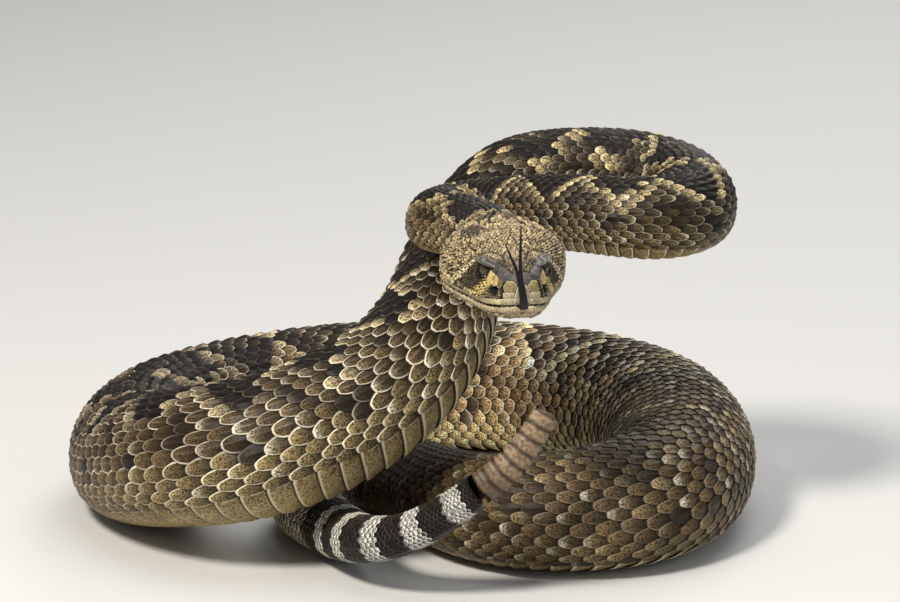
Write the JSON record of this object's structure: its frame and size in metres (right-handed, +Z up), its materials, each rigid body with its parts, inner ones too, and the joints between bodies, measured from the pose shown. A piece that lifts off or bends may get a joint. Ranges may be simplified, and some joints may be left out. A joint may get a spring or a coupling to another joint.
{
  "type": "western diamondback rattlesnake model",
  "caption": "Still life-size western diamondback rattlesnake, coiled on the ground with head and neck raised in an S, tongue out and rattle up.",
  "frame": {"origin": "middle of the bounding box, on the ground plane that the coil lies on", "axes": "+Z up, -Y the way the head faces, +X to the right as the camera sees it"},
  "size_m": [0.2648, 0.2928, 0.152],
  "materials": {
    "head_skin": "fine granular scales, satin",
    "jaw_skin": "smooth lip and chin scales, satin",
    "eye": "wet gloss, upright slit pupil",
    "tongue": "wet black",
    "neck_skin": "keeled scales, satin",
    "body_skin": "keeled scales in a diamond pattern, satin",
    "tail_skin": "black and ash-white rings, satin",
    "rattle": "dry horn"
  },
  "bodies": {
    "root": {"head": "head_skin", "lower_jaw": "jaw_skin", "eye_left": "eye", "eye_right": "eye", "tongue": "tongue", "neck": "neck_skin", "neck_left_bend": "neck_skin", "raised_front": "body_skin", "raised_right_bend": "body_skin", "raised_back": "body_skin", "rising_top": "body_skin", "rising_upper": "body_skin", "rising_lower": "body_skin", "left_bend": "body_skin", "coil_left": "body_skin", "coil_back_left": "body_skin", "coil_back_right": "body_skin", "coil_right_bend": "body_skin", "coil_right": "body_skin", "coil_front_right": "body_skin", "inner_coil": "body_skin", "inner_bend": "body_skin", "body_end": "body_skin", "tail": "tail_skin", "rattle": "rattle"}
  },
  "joints": []
}
